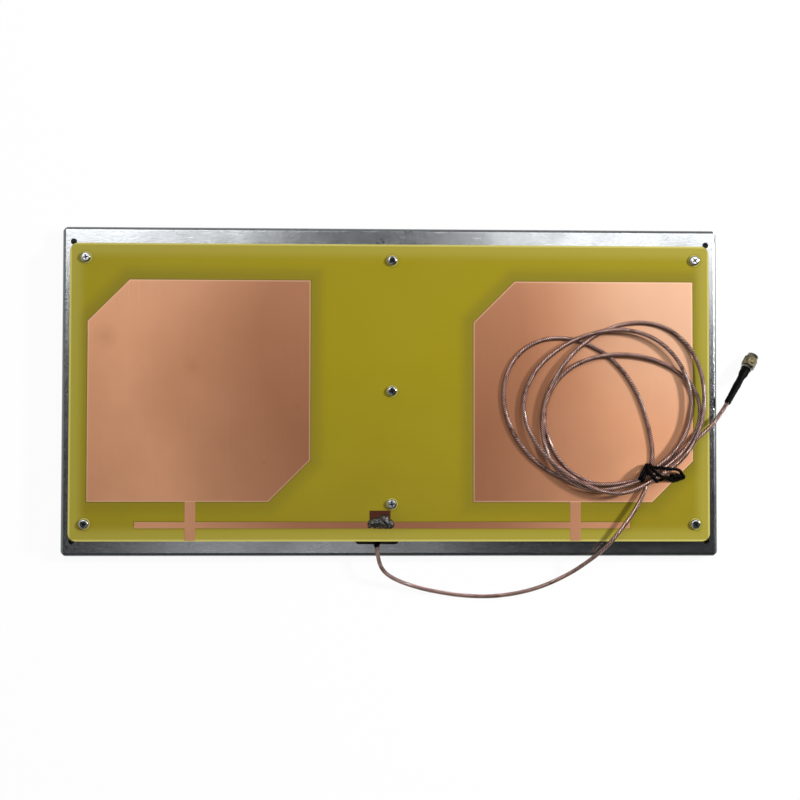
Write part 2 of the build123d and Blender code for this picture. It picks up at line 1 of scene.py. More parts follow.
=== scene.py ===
# Looks of an opened RFID panel antenna: zinc-coated reflector sheet, yellow
# glass-fibre board with etched copper patches, and a thin coaxial lead lying
# in loose turns. Metres in the scene; sizes of the object are written in
# millimetres and turned to metres where they are used.
import json
import math

import bmesh
import bpy
import numpy as np
from mathutils import Matrix, Vector

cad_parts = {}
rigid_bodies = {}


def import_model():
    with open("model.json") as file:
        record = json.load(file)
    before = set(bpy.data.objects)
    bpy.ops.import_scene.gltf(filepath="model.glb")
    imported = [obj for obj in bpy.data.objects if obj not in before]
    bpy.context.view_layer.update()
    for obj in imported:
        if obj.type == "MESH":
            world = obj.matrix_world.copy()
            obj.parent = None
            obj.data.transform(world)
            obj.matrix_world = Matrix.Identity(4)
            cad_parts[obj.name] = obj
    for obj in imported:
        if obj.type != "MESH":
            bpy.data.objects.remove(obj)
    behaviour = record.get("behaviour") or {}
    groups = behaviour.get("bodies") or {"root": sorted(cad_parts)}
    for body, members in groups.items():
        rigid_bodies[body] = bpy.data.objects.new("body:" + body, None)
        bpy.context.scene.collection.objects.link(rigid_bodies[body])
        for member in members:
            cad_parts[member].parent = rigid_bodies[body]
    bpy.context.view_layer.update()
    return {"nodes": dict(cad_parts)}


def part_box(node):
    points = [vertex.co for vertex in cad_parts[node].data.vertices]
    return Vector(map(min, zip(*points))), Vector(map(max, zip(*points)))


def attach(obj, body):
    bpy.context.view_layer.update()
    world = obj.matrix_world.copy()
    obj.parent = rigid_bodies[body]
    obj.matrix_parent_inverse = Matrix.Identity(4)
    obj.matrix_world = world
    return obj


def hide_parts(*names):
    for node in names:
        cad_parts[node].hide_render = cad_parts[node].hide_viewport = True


for thing in list(bpy.data.objects):
    bpy.data.objects.remove(thing)
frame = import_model()

MM = 0.001
ANTENNA = "antenna"

# Where the photograph was taken from, in metres, how its camera was turned, and
# its lens and sensor in millimetres
CAMERA_PLACE = (-0.02535, -0.03294, 0.900)
CAMERA_TURN = (0.0313184, -0.0342831, 0.0018504)
CAMERA_LENS = 65.735
CAMERA_SENSOR = 36.0

# Route of the lead from the exit to the tie, as in the part's source
LEAD_POINTS = (
    (-8.8, -94.2, 13.4),
    (-8.2, -102.0, 14.3),
    (-4.7, -109.4, 12.5),
    (2.7, -114.5, 8.3),
    (12.5, -118.4, 4.3),
    (24.5, -121.8, 1.8),
    (45.5, -125.2, 1.4),
    (67.0, -125.3, 1.4),
    (89.0, -121.0, 1.5),
    (108.0, -112.3, 4.7),
    (121.5, -101.8, 14.0),
    (130.0, -92.5, 24.6),
    (139.5, -81.0, 25.6),
    (147.8, -69.0, 23.0),
    (152.3, -60.0, 21.5),
    (153.9, -55.3, 21.2),
)
# From the tie to the plug's sleeve; the last three are in the part's source
TAIL_POINTS = (
    (162.3, -44.9, 23.0),
    (170.3, -39.3, 24.0),
    (178.8, -32.9, 24.8),
    (187.2, -25.4, 25.2),
    (192.7, -20.5, 25.5),
    (199.3, -12.9, 21.9),
)
CORD_DIAMETER = 2.5
POINTS_PER_TURN = 28
# The tie and the run of the strands through it
TIE_PLACE = (155.0, -49.6)
TIE_TURN = 32.0
# Each loose turn: its middle, half axes and their tilt, how far round it leans
# to the tie after and before it, how egg-shaped it is, and its layer
TURNS = (
    ((109.9, -11.1), (47.6, 38.5), -48.9, (33.0, 31.0), (0.0, 0.0), 1.0),
    ((133.1, -12.9), (49.2, 52.9), 57.9, (51.0, 25.0), (2.8, -1.9), 4.0),
    ((140.8, -10.2), (56.4, 46.0), 58.2, (38.0, 42.0), (-0.8, -1.7), 3.0),
    ((140.8, -18.7), (43.2, 48.3), 83.2, (81.0, 82.0), (-2.1, 0.2), 2.0),
)
# Strands at the tie, lead first: how far to the side each lies, its layer, and
# how many degrees of a turn it takes to reach that layer
STRANDS = (
    (0.0, 0.0, 40.0),
    (1.2, 1.5, 40.0),
    (-3.9, 2.7, 40.0),
    (-1.3, 2.6, 40.0),
    (-1.8, 0.4, 180.0),
)

# Place of the plug, as in the part's source: the nut's mouth and its axis
PLUG_TIP = Vector((224.3, 23.1, 3.6))
PLUG_TURN = math.radians(55.9)
PLUG_DROOP = math.radians(21.8)
PLUG_AXIS = Vector(
    (
        math.cos(PLUG_DROOP) * math.cos(PLUG_TURN),
        math.cos(PLUG_DROOP) * math.sin(PLUG_TURN),
        -math.sin(PLUG_DROOP),
    )
)
# Rear end of the plug's sleeve, behind the nut's mouth
SLEEVE_REAR = 38.6

# What the lead lies on: lowest and highest corners of the board and the sheet
BOARD = [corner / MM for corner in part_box("antenna_board")]
SHEET = [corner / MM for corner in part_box("reflector_tray")]
SHEET_TOP = SHEET[1].z
COPPER_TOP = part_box("patch_copper")[1].z / MM


def srgb(text):
    """Linear colour of an sRGB hex value."""
    parts = [int(text[i : i + 2], 16) / 255 for i in (1, 3, 5)]
    linear = [p / 12.92 if p <= 0.04045 else ((p + 0.055) / 1.055) ** 2.4 for p in parts]
    return (*linear, 1.0)


def add(tree, kind, inputs=None, **settings):
    """Add a shader node with its settings, its values and its links."""
    made = tree.nodes.new("ShaderNode" + kind)
    for key, value in settings.items():
        setattr(made, key, value)
    for name, value in (inputs or {}).items():
        if isinstance(name, int):
            socket = made.inputs[name]
        else:
            socket = next(s for s in made.inputs if s.name == name and s.enabled)
        if isinstance(value, bpy.types.ShaderNode):
            value = next(s for s in value.outputs if s.enabled)
        if isinstance(value, bpy.types.NodeSocket):
            tree.links.new(value, socket)
        elif isinstance(value, str):
            socket.default_value = srgb(value)
        else:
            socket.default_value = value
    return made


def material(name):
    """A new material with no nodes yet but its place in millimetres."""
    made = bpy.data.materials.new(name)
    made.use_nodes = True
    tree = made.node_tree
    tree.nodes.clear()
    place = add(tree, "TexCoord").outputs["Object"]
    return made, tree, add(tree, "Mapping", {"Vector": place, "Scale": (1 / MM,) * 3})


def surface(tree, **sockets):
    """Close a material with its shader, whose sockets are named with low lines."""
    inputs = {key.replace("_", " "): value for key, value in sockets.items()}
    add(tree, "OutputMaterial", {"Surface": add(tree, "BsdfPrincipled", inputs)})


def dress(finish, *nodes):
    """Give nodes of the part their material."""
    for node in nodes:
        slots = frame["nodes"][node].data.materials
        slots.clear()
        slots.append(finish)


def galvanised_sheet():
    """Hot-dip galvanised steel, pressed flat at the mill: a grey metal that mirrors
    the room dimly, with a fine worm-like mottle about 1 mm wide, rubbed grey
    patches, light scratches from handling, and folds dulled by the press and
    darkened by painted shade where they turn away from the light."""
    made, tree, place = material("hot_dip_galvanised_steel")
    mottle = {"Vector": place, "Scale": 0.85, "Detail": 2.0, "Distortion": 1.0}
    worms = add(tree, "TexNoise", mottle)
    vein = add(tree, "Math", {0: worms, 1: 0.5}, operation="SUBTRACT")
    vein = add(tree, "Math", {0: vein}, operation="ABSOLUTE")
    vein = add(tree, "MapRange", {"Value": vein, "From Max": 0.07, "To Min": 1.0, "To Max": 0.0})
    wide = add(tree, "TexNoise", {"Vector": place, "Scale": 0.035, "Detail": 5.0})
    rubbed = add(tree, "MapRange", {"Value": wide, "From Min": 0.42, "From Max": 0.66})
    stroke = {"Vector": place, "Rotation": (0, 0, 0.4), "Scale": (0.05, 1.5, 1)}
    drawn = add(tree, "Mapping", stroke)
    drawn = add(tree, "TexNoise", {"Vector": drawn, "Scale": 1.0, "Detail": 2.0})
    scratch = add(tree, "MapRange", {"Value": drawn, "From Min": 0.68, "From Max": 0.72})
    light = add(tree, "Math", {0: vein, 1: 0.4}, operation="MULTIPLY")
    colour = add(tree, "Mix", {"Factor": light, "A": "#a6a9ac", "B": "#cdcfd1"}, data_type="RGBA")
    share = add(tree, "Math", {0: rubbed, 1: 0.35}, operation="MULTIPLY")
    colour = add(tree, "Mix", {"Factor": share, "A": colour, "B": "#8f9294"}, data_type="RGBA")
    share = add(tree, "Math", {0: scratch, 1: 0.6}, operation="MULTIPLY")
    colour = add(tree, "Mix", {"Factor": share, "A": colour, "B": "#e4e6e8"}, data_type="RGBA")
    rough = add(tree, "MapRange", {"Value": vein, "To Min": 0.13, "To Max": 0.18})
    share = add(tree, "Math", {0: rubbed, 1: 0.05}, operation="MULTIPLY")
    rough = add(tree, "Math", {0: rough, 1: share}, operation="ADD")
    outline = inside(tree, place, SHEET)
    # Painted shade along the folds, which are rougher too
    fold = add(tree, "MapRange", {"Value": outline, "From Min": 1.8, "From Max": 1.1})
    share = add(tree, "Math", {0: fold, 1: 0.75}, operation="MULTIPLY")
    colour = add(tree, "Mix", {"Factor": share, "A": colour, "B": "#6c6f71"}, data_type="RGBA")
    rough = add(tree, "Math", {0: fold, 1: 0.12, 2: rough}, operation="MULTIPLY_ADD")
    height = add(tree, "Math", {0: vein, 1: 0.2, 2: worms}, operation="MULTIPLY_ADD")
    relief = add(tree, "Bump", {"Height": height, "Distance": 0.04 * MM, "Strength": 0.8})
    surface(tree, Base_Color=colour, Roughness=rough, Normal=relief, Metallic=1.0)
    return made


# Plan of the copper: the patches' middles, half their side and how far along a
# diagonal their two cut corners reach
PATCH_X = 116.0
PATCH_HALF = 66.75
PATCH_DIAGONAL = (2 * PATCH_HALF - 25.0) / math.sqrt(2)
# The feed strip's middle, half its width and half its length, and the pad's left,
# right, front and rear
STRIP_X, STRIP_Y, STRIP_HALF, STRIP_REACH = -5.0, -80.7, 1.9, 149.2
PAD_LEFT, PAD_RIGHT, PAD_FRONT, PAD_REAR = -13.4, -0.8, -78.8, -66.8
# Place of the corner screws from the middle, and y of the three between them
SCREW_X, SCREW_Y = 184.0, 80.0
MIDDLE_SCREWS = (79.0, 0.0, -68.0)
SCREW_NUMBERS = range(1, 8)
# Where the lead's braid is soldered below the board
GROUND_X, GROUND_Y = -3.0, -86.0


def outside_patches(tree, place):
    """Distance in millimetres from the nearer patch's outline, less than zero inside."""
    parts = add(tree, "SeparateXYZ", {0: place}).outputs
    hand = add(tree, "Math", {0: parts[0]}, operation="SIGN")
    x = add(tree, "Math", {0: hand, 1: -PATCH_X, 2: parts[0]}, operation="MULTIPLY_ADD")
    slant = add(tree, "Math", {0: x, 1: parts[1]}, operation="SUBTRACT")
    sides = ((x, 1.0, PATCH_HALF), (parts[1], 1.0, PATCH_HALF), (slant, 2**-0.5, PATCH_DIAGONAL))
    nearest = None
    for way, factor, limit in sides:
        far = add(tree, "Math", {0: way}, operation="ABSOLUTE")
        far = add(tree, "Math", {0: far, 1: factor, 2: -limit}, operation="MULTIPLY_ADD")
        if nearest is None:
            nearest = far
        else:
            nearest = add(tree, "Math", {0: nearest, 1: far}, operation="MAXIMUM")
    return nearest


def inside(tree, place, corners):
    """Distance in millimetres inward from the nearest edge of a plate, given its lowest
    and highest corners."""
    middle = (corners[0] + corners[1]) / 2
    off = add(tree, "VectorMath", {0: place, 1: middle}, operation="SUBTRACT")
    off = add(tree, "VectorMath", {0: off}, operation="ABSOLUTE")
    off = add(tree, "VectorMath", {0: corners[1] - middle, 1: off}, operation="SUBTRACT")
    parts = add(tree, "SeparateXYZ", {0: off}).outputs
    return add(tree, "Math", {0: parts[0], 1: parts[1]}, operation="MINIMUM")


def from_screws(tree, place):
    """Distance in millimetres from the nearest screw's axis."""
    flat = add(tree, "VectorMath", {0: place, 1: (1, 1, 0)}, operation="MULTIPLY")
    mirrored = add(tree, "VectorMath", {0: flat}, operation="ABSOLUTE")
    spots = [(mirrored, (SCREW_X, SCREW_Y, 0))] + [(flat, (0, y, 0)) for y in MIDDLE_SCREWS]
    nearest = None
    for point, spot in spots:
        far = add(tree, "VectorMath", {0: point, 1: spot}, operation="DISTANCE")
        if nearest is None:
            nearest = far
        else:
            nearest = add(tree, "Math", {0: nearest, 1: far}, operation="MINIMUM")
    return nearest


def glass_epoxy():
    """Glass cloth pressed in epoxy, with its copper etched off: clear yellow-green
    plastic over a fine weave, pale along its sawn edges and in a ring round each
    screw head. Painted shadow darkens it beside the copper, where the foil casts
    shadow on the sheet below and shows through the clear board; painted light
    brightens a band along its edges, where light gets in under it; and painted
    shade marks the ground joint below it and the black spacer under each screw,
    seen through it. The real cloth has a thread each 0.5 mm, drawn here at 1.2 mm
    so that it still shows."""
    made, tree, place = material("glass_epoxy_laminate")
    parts = add(tree, "SeparateXYZ", {0: place}).outputs
    beside = outside_patches(tree, place)
    edge = inside(tree, place, BOARD)
    screws = from_screws(tree, place)
    low = add(tree, "MapRange", {"Value": parts[1], "From Min": -90.0, "From Max": 20.0})
    colour = add(tree, "Mix", {"Factor": low, "A": "#88791b", "B": "#91830f"}, data_type="RGBA")
    clouds = add(tree, "TexNoise", {"Vector": place, "Scale": 0.03, "Detail": 3.0})
    sockets = {"Value": clouds, "From Min": 0.35, "From Max": 0.7, "To Max": 0.35}
    clouds = add(tree, "MapRange", sockets)
    colour = add(tree, "Mix", {"Factor": clouds, "A": colour, "B": "#96881b"}, data_type="RGBA")
    ground = (GROUND_X, GROUND_Y, BOARD[1].z)
    joint = add(tree, "VectorMath", {0: place, 1: ground}, operation="DISTANCE")
    along = add(tree, "Math", {0: parts[0], 1: STRIP_X}, operation="SUBTRACT")
    along = add(tree, "Math", {0: along}, operation="ABSOLUTE")
    along = add(tree, "Math", {0: along, 1: STRIP_REACH}, operation="SUBTRACT")
    strip = add(tree, "Math", {0: parts[1], 1: STRIP_Y}, operation="SUBTRACT")
    strip = add(tree, "Math", {0: strip}, operation="ABSOLUTE")
    strip = add(tree, "Math", {0: strip, 1: STRIP_HALF}, operation="SUBTRACT")
    strip = add(tree, "Math", {0: strip, 1: along}, operation="MAXIMUM")
    # Each tone: what it is measured from, where it begins and is full, how strong, and its colour;
    # most are painted shadow, painted shade or painted light
    painted_light_and_pale_edges = (
        # Painted shadow of the feed strip's foil beside it
        (strip, 1.0, 0.3, 0.55, "#5b4d18"),
        # Painted shade of the ground joint below, seen through the board
        (joint, 19.0, 6.0, 0.8, "#7b6e1c"),
        # Painted shadow of the patches on the sheet below, seen through the board
        (beside, 11.0, 2.0, 0.85, "#7f721b"),
        # Painted light along the edges, where light gets in under the board
        (edge, 11.0, 3.0, 0.9, "#9d923a"),
        # Painted shadow at the edge of the patches' foil
        (beside, 0.7, 0.2, 0.7, "#4f4a18"),
        (edge, 1.3, 0.8, 0.85, "#c3b966"),
        # Painted shade of the black spacer under each screw, seen through the board
        (screws, 4.6, 3.7, 0.5, "#5d561a"),
        (screws, 3.7, 3.5, 0.85, "#b6ac5a"),
    )
    for way, start, full, share, tone in painted_light_and_pale_edges:
        sockets = {"Value": way, "From Min": start, "From Max": full, "To Max": share}
        near = add(tree, "MapRange", sockets, interpolation_type="SMOOTHSTEP")
        colour = add(tree, "Mix", {"Factor": near, "A": colour, "B": tone}, data_type="RGBA")
    # A wave at this scale has a crest each 1.2 mm
    weave = {"Vector": place, "Scale": 0.26, "Distortion": 0.8, "Detail": 1.0, "Detail Scale": 0.6}
    warp = add(tree, "TexWave", weave, bands_direction="X")
    weft = add(tree, "TexWave", weave, bands_direction="Y")
    cloth = add(tree, "Math", {0: warp, 1: weft}, operation="MULTIPLY")
    share = add(tree, "Math", {0: cloth, 1: 0.1}, operation="MULTIPLY")
    colour = add(tree, "Mix", {"Factor": share, "A": colour, "B": "#c4b95c"}, data_type="RGBA")
    relief = add(tree, "Bump", {"Height": cloth, "Distance": 0.01 * MM, "Strength": 0.3})
    surface(tree, Base_Color=colour, Roughness=0.32, Specular_IOR_Level=0.1, Normal=relief)
    return made


# Marks on the copper: x and y of the middle, how far from it they begin and are
# full, how strong they are, and their colour. Five fingerprints, then painted
# light: painted shade toward the middle and toward the feed strip, and a pale
# painted highlight at the right rear corner.
COPPER_STAINS_AND_PAINTED_LIGHT = (
    (-120.3, 14.8, 6.0, 1.0, 0.2, "#94684a"),
    (-172.0, 33.0, 9.0, 1.0, 0.2, "#94684a"),
    (-57.0, -10.0, 2.5, 1.0, 0.2, "#94684a"),
    (-77.0, -43.0, 2.0, 1.0, 0.2, "#94684a"),
    (128.0, 38.0, 14.0, 1.0, 0.2, "#94684a"),
    # Painted shade toward the middle and toward the feed strip
    (0.0, 30.0, 160.0, 80.0, 0.75, "#946247"),
    (10.0, -85.0, 150.0, 40.0, 0.55, "#8a573e"),
    # Painted highlight at the right rear corner
    (185.0, 60.0, 90.0, 30.0, 0.6, "#c2a189"),
)


def etched_copper():
    """Rolled copper foil, etched and left bare: a matt pink-brown metal with fine
    rolling lines, with fingerprints and, on the pad, the dark red scale of the
    soldering heat. Painted light and shade stand in for the room the copper
    mirrors: the lines are painted lighter toward the rear, a painted highlight
    runs along its etched rim and lies at its right rear corner, and painted shade
    darkens it toward the middle and toward the feed strip. The real lines are a
    tenth of a millimetre apart, drawn here at 1.2 mm so that they still show."""
    made, tree, place = material("bare_rolled_copper_foil")
    parts = add(tree, "SeparateXYZ", {0: place}).outputs
    drawn = add(tree, "Mapping", {"Vector": place, "Scale": (0.8, 0.015, 1)})
    lines = add(tree, "TexNoise", {"Vector": drawn, "Scale": 1.0, "Detail": 4.0})
    clouds = add(tree, "TexNoise", {"Vector": place, "Scale": 0.02, "Detail": 4.0})
    cloudy = add(tree, "MapRange", {"Value": clouds, "From Min": 0.35, "From Max": 0.68})
    colour = add(tree, "Mix", {"Factor": cloudy, "A": "#dba17c", "B": "#cf9773"}, data_type="RGBA")
    # Rolling lines, painted lighter toward the rear, where they catch the light
    sockets = {"Value": parts[1], "From Min": 30.0, "From Max": 66.0, "To Min": 0.15}
    rolling_lines_and_highlight = add(tree, "MapRange", sockets)
    rolling_lines_and_highlight = add(tree, "Math", {0: rolling_lines_and_highlight, 1: lines}, operation="MULTIPLY")
    sockets = {"Value": rolling_lines_and_highlight, "From Min": 0.1, "From Max": 0.6, "To Max": 0.3}
    rolling_lines_and_highlight = add(tree, "MapRange", sockets)
    colour = add(tree, "Mix", {"Factor": rolling_lines_and_highlight, "A": colour, "B": "#eab896"}, data_type="RGBA")
    for x, y, start, full, share, tone in COPPER_STAINS_AND_PAINTED_LIGHT:
        far = add(tree, "VectorMath", {0: place, 1: (x, y, COPPER_TOP)}, operation="DISTANCE")
        sockets = {"Value": far, "From Min": start, "From Max": full, "To Max": share}
        near = add(tree, "MapRange", sockets)
        colour = add(tree, "Mix", {"Factor": near, "A": colour, "B": tone}, data_type="RGBA")
    # Painted highlight along the patches' etched rim
    far = outside_patches(tree, place)
    on_patch = add(tree, "Math", {0: far, 1: 0.1}, operation="LESS_THAN")
    rim = add(tree, "MapRange", {"Value": far, "From Min": -1.0, "From Max": -0.3, "To Max": 0.4})
    rim = add(tree, "Math", {0: rim, 1: on_patch}, operation="MULTIPLY")
    colour = add(tree, "Mix", {"Factor": rim, "A": colour, "B": "#f2c6a6"}, data_type="RGBA")
    scale = add(tree, "Math", {0: parts[1], 1: PAD_FRONT}, operation="GREATER_THAN")
    sides = (
        (parts[0], PAD_LEFT, "GREATER_THAN"),
        (parts[0], PAD_RIGHT, "LESS_THAN"),
        (parts[1], PAD_REAR, "LESS_THAN"),
    )
    for way, limit, side in sides:
        within = add(tree, "Math", {0: way, 1: limit}, operation=side)
        scale = add(tree, "Math", {0: scale, 1: within}, operation="MULTIPLY")
    colour = add(tree, "Mix", {"Factor": scale, "A": colour, "B": "#573227"}, data_type="RGBA")
    span = {"Value": lines, "From Min": 0.3, "From Max": 0.7, "To Min": 0.48, "To Max": 0.53}
    rough = add(tree, "MapRange", span)
    relief = add(tree, "Bump", {"Height": lines, "Distance": 0.02 * MM, "Strength": 0.4})
    surface(tree, Base_Color=colour, Roughness=rough, Normal=relief, Metallic=1.0)
    return made


# Bundles of wires that the braid has round the lead each way, and their spacing
# along it
BRAID_BUNDLES = 5.0
BRAID_PITCH = 1.3


def jacketed_braid():
    """Silver-plated copper braid under a clear brown fluoropolymer jacket: bright
    wires that cross like a rope's strands below a glossy skin. The real bundles
    are 0.7 mm apart, drawn here at 1.3 mm so that they still show."""
    made, tree, place = material("clear_jacket_on_silvered_braid")
    parts = add(tree, "SeparateXYZ", {0: add(tree, "TexCoord").outputs["UV"]}).outputs
    waves = []
    for bundles in (BRAID_BUNDLES, -BRAID_BUNDLES):
        run = add(tree, "Math", {0: parts[1], 1: math.tau / BRAID_PITCH}, operation="MULTIPLY")
        sockets = {0: parts[0], 1: bundles * math.tau, 2: run}
        run = add(tree, "Math", sockets, operation="MULTIPLY_ADD")
        waves.append(add(tree, "Math", {0: run}, operation="SINE"))
    weave = add(tree, "Math", {0: waves[1], 1: 0.4, 2: waves[0]}, operation="MULTIPLY_ADD")
    light = add(tree, "MapRange", {"Value": weave, "From Min": -1.0, "From Max": 1.0})
    patchy = add(tree, "TexNoise", {"Vector": place, "Scale": 0.25, "Detail": 2.0})
    light = add(tree, "Math", {0: light, 1: patchy}, operation="MULTIPLY")
    light = add(tree, "MapRange", {"Value": light, "From Min": 0.16, "From Max": 0.4})
    colour = add(tree, "Mix", {"Factor": light, "A": "#40221a", "B": "#ead4cc"}, data_type="RGBA")
    relief = add(tree, "Bump", {"Height": weave, "Distance": 0.14 * MM, "Strength": 0.9})
    surface(
        tree,
        Base_Color=colour,
        Normal=relief,
        Metallic=0.85,
        Roughness=0.3,
        Coat_Weight=0.6,
        Coat_Roughness=0.1,
        Coat_Tint="#b98a7a",
    )
    return made


# How far a finish's roughness spreads round its middle, and upwards where it is worn
SPREAD, WORN_SPREAD = 0.06, 0.08


def moulded(name, colour, roughness, grain):
    """Plain plastic or rubber, moulded or drawn: one colour, a little uneven, with a
    faint grain whose size is given in millimetres."""
    made, tree, place = material(name)
    clouds = add(tree, "TexNoise", {"Vector": place, "Scale": 0.4, "Detail": 3.0})
    sockets = {"Value": clouds, "From Min": 0.5, "From Max": 0.8, "To Max": 0.012}
    dusty = add(tree, "MapRange", sockets)
    mixed = add(tree, "Mix", {"Factor": dusty, "A": colour, "B": "#8a8680"}, data_type="RGBA")
    fine = add(tree, "TexNoise", {"Vector": place, "Scale": 1 / grain, "Detail": 2.0})
    span = {"Value": fine, "To Min": roughness - SPREAD, "To Max": roughness + SPREAD}
    rough = add(tree, "MapRange", span)
    relief = add(tree, "Bump", {"Height": fine, "Distance": 0.1 * grain * MM, "Strength": 0.4})
    surface(tree, Base_Color=mixed, Roughness=rough, Specular_IOR_Level=0.04, Normal=relief)
    return made


def plated(name, colour, worn, roughness, grain):
    """Plated metal, turned or drawn: its colour, darker or warmer where the plating
    is worn, and tool marks whose spacing is given in millimetres."""
    made, tree, place = material(name)
    wide = add(tree, "TexNoise", {"Vector": place, "Scale": 0.6, "Detail": 4.0})
    rubbed = add(tree, "MapRange", {"Value": wide, "From Min": 0.42, "From Max": 0.62})
    mixed = add(tree, "Mix", {"Factor": rubbed, "A": colour, "B": worn}, data_type="RGBA")
    fine = add(tree, "TexNoise", {"Vector": place, "Scale": 1 / grain, "Detail": 2.0})
    span = {"Value": fine, "To Min": roughness - SPREAD, "To Max": roughness + WORN_SPREAD}
    rough = add(tree, "MapRange", span)
    relief = add(tree, "Bump", {"Height": fine, "Distance": 0.05 * grain * MM, "Strength": 0.5})
    surface(tree, Base_Color=mixed, Roughness=rough, Normal=relief, Metallic=1.0)
    return made


# Where the nut's hexagon begins and ends along the plug, from the nut's mouth
FACETS_FROM, FACETS_TO = -2.5, -8.6


def nickel_on_brass():
    """Nickel plating on turned brass: mirror-bright on the round nose and collar,
    which only the lathe touched, and on the hexagon rubbed by fingers and spanners
    until the plating is scratched and lets the brass through."""
    made, tree, place = material("nickel_plated_brass")
    depth = add(tree, "VectorMath", {0: place, 1: PLUG_AXIS}, operation="DOT_PRODUCT")
    depth = add(tree, "Math", {0: depth, 1: PLUG_TIP.dot(PLUG_AXIS)}, operation="SUBTRACT")
    front = add(tree, "Math", {0: depth, 1: FACETS_FROM}, operation="LESS_THAN")
    rear = add(tree, "Math", {0: depth, 1: FACETS_TO}, operation="GREATER_THAN")
    facet = add(tree, "Math", {0: front, 1: rear}, operation="MULTIPLY")
    sockets = {"Vector": place, "Scale": 0.9, "Detail": 4.0, "Distortion": 1.5}
    marks = add(tree, "TexNoise", sockets)
    worn = add(tree, "MapRange", {"Value": marks, "From Min": 0.4, "From Max": 0.6})
    used = add(tree, "Mix", {"Factor": worn, "A": "#2c2616", "B": "#7d7456"}, data_type="RGBA")
    colour = add(tree, "Mix", {"Factor": facet, "A": "#78746a", "B": used}, data_type="RGBA")
    rough = add(tree, "MapRange", {"Value": facet, "To Min": 0.1, "To Max": 0.3})
    height = add(tree, "Math", {0: worn, 1: facet}, operation="MULTIPLY")
    relief = add(tree, "Bump", {"Height": height, "Distance": 0.05 * MM, "Strength": 0.6})
    surface(tree, Base_Color=colour, Roughness=rough, Normal=relief, Metallic=1.0)
    return made


# The screws' punched cross: how far it reaches from the axis, and how far below
# the top of the head its walls begin; and the pitch that their thread is drawn at
HEAD_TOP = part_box("board_screw_1")[1].z / MM
RECESS_REACH, RECESS_FROM = 1.7, 0.45
DRAWN_PITCH = 0.8


def zinc_plated_screw():
    """Zinc-plated steel: bright, cold-headed and smooth, with a matt punched cross
    darkened by painted shade, and a rolled thread of 0.5 mm pitch, drawn at 0.8 mm
    so that it shows."""
    made, tree, place = material("zinc_plated_steel")
    parts = add(tree, "SeparateXYZ", {0: place}).outputs
    wide = add(tree, "TexNoise", {"Vector": place, "Scale": 0.7, "Detail": 3.0})
    colour = add(tree, "Mix", {"Factor": wide, "A": "#c6c8ca", "B": "#a8aaac"}, data_type="RGBA")
    thread = add(tree, "Math", {0: parts[2], 1: math.tau / DRAWN_PITCH}, operation="MULTIPLY")
    thread = add(tree, "Math", {0: thread}, operation="SINE")
    shank = add(tree, "Math", {0: parts[2], 1: BOARD[0].z}, operation="LESS_THAN")
    thread = add(tree, "Math", {0: thread, 1: shank}, operation="MULTIPLY")
    relief = add(tree, "Bump", {"Height": thread, "Distance": 0.2 * MM, "Strength": 0.8})
    reach = from_screws(tree, place)
    cross = add(tree, "Math", {0: reach, 1: RECESS_REACH}, operation="LESS_THAN")
    for limit, side in ((HEAD_TOP - RECESS_FROM, "LESS_THAN"), (COPPER_TOP, "GREATER_THAN")):
        level = add(tree, "Math", {0: parts[2], 1: limit}, operation=side)
        cross = add(tree, "Math", {0: cross, 1: level}, operation="MULTIPLY")
    # Painted shade in the punched cross
    colour = add(tree, "Mix", {"Factor": cross, "A": colour, "B": "#2a2a2c"}, data_type="RGBA")
    rough = add(tree, "MapRange", {"Value": cross, "To Min": 0.14, "To Max": 0.5})
    surface(tree, Base_Color=colour, Roughness=rough, Normal=relief, Metallic=1.0)
    return made


def dull_solder():
    """Hand-made solder joint, cooled while it moved: grey and wrinkled, with a
    painted highlight on its crests and painted shade in its hollows."""
    made, tree, place = material("hand_soldered_tin_joint")
    skin = add(tree, "TexNoise", {"Vector": place, "Scale": 1.3, "Detail": 5.0, "Distortion": 0.8})
    crest = add(tree, "MapRange", {"Value": skin, "From Min": 0.4, "From Max": 0.6})
    # Painted highlight on the crests and painted shade in the hollows
    colour = add(tree, "Mix", {"Factor": crest, "A": "#1d1a18", "B": "#757370"}, data_type="RGBA")
    rough = add(tree, "MapRange", {"Value": crest, "To Min": 0.5, "To Max": 0.24})
    relief = add(tree, "Bump", {"Height": skin, "Distance": 0.5 * MM, "Strength": 0.8})
    surface(tree, Base_Color=colour, Roughness=rough, Normal=relief, Metallic=1.0)
    return made


def turn_point(turn, start, end, angle):
    """Plan point of a loose turn, angle on from the tie as seen from its middle."""
    middle, half, tilt, lean, egg = turn
    tie_angle = math.atan2(TIE_PLACE[1] - middle[1], TIE_PLACE[0] - middle[0])
    points = []
    for a in (tie_angle + angle, tie_angle):
        t = a - math.radians(tilt)
        x = half[0] * math.cos(t) + egg[0] * math.cos(2 * t)
        y = half[1] * math.sin(t) + egg[1] * math.sin(2 * t)
        points.append(Vector(middle) + Vector((x, y)) @ Matrix.Rotation(-math.radians(tilt), 2))
    here, own = points
    after = math.exp(-((angle / math.radians(lean[0])) ** 2))
    before = math.exp(-(((2 * math.pi - angle) / math.radians(lean[1])) ** 2))
    return here + after * (start - own) + before * (end - own)


